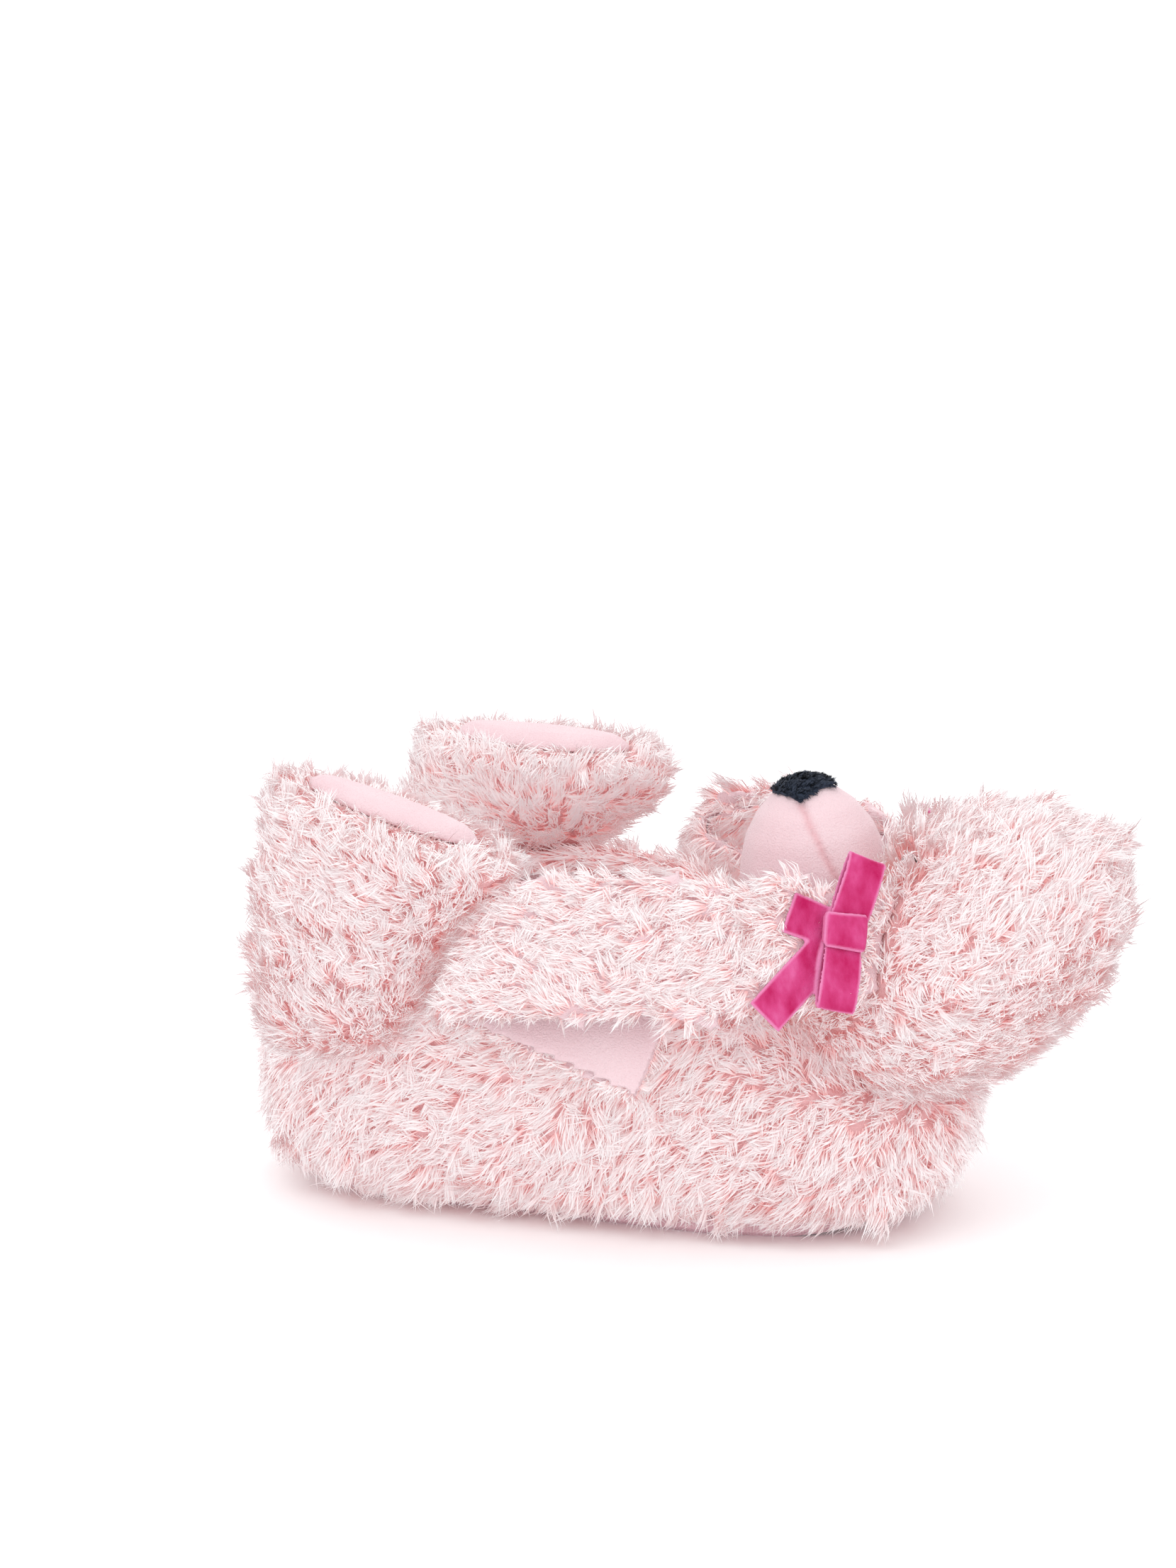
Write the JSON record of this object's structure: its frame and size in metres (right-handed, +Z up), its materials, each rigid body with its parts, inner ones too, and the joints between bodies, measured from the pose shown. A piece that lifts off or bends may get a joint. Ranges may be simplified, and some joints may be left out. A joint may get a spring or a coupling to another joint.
{
  "type": "animal slipper",
  "caption": "Plush slipper shaped as a long-eared animal lying on its back: padded bootie, stuffed head on the toe, raised hind legs and ribbon bows on the ears.",
  "frame": {"origin": "middle of the sole's length and width, on the floor plane", "axes": "+X towards the toe, +Y to the wearer's left, +Z up"},
  "size_m": [0.3526, 0.1867, 0.1837],
  "materials": {
    "shaggy_plush": "long pale pink pile",
    "short_plush": "short pale pink pile",
    "black_plush": "short blue-black pile",
    "magenta_velvet": "velvet ribbon",
    "black_bead": "glossy",
    "sole_cloth": "pale pink woven cloth over foam",
    "footbed_cloth": "pale brushed cloth over foam"
  },
  "bodies": {
    "root": {"upper": "shaggy_plush", "outsole": "sole_cloth", "insole": "footbed_cloth", "head": "shaggy_plush", "muzzle": "short_plush", "nose": "black_plush", "eye_right": "black_bead", "eye_left": "black_bead", "ear_right": "shaggy_plush", "ear_left": "shaggy_plush", "ear_lining_right": "short_plush", "ear_lining_left": "short_plush", "bow_right": "magenta_velvet", "bow_left": "magenta_velvet", "knot_right": "magenta_velvet", "knot_left": "magenta_velvet", "leg_right": "shaggy_plush", "leg_left": "shaggy_plush", "foot_pad_right": "short_plush", "foot_pad_left": "short_plush"}
  },
  "joints": []
}
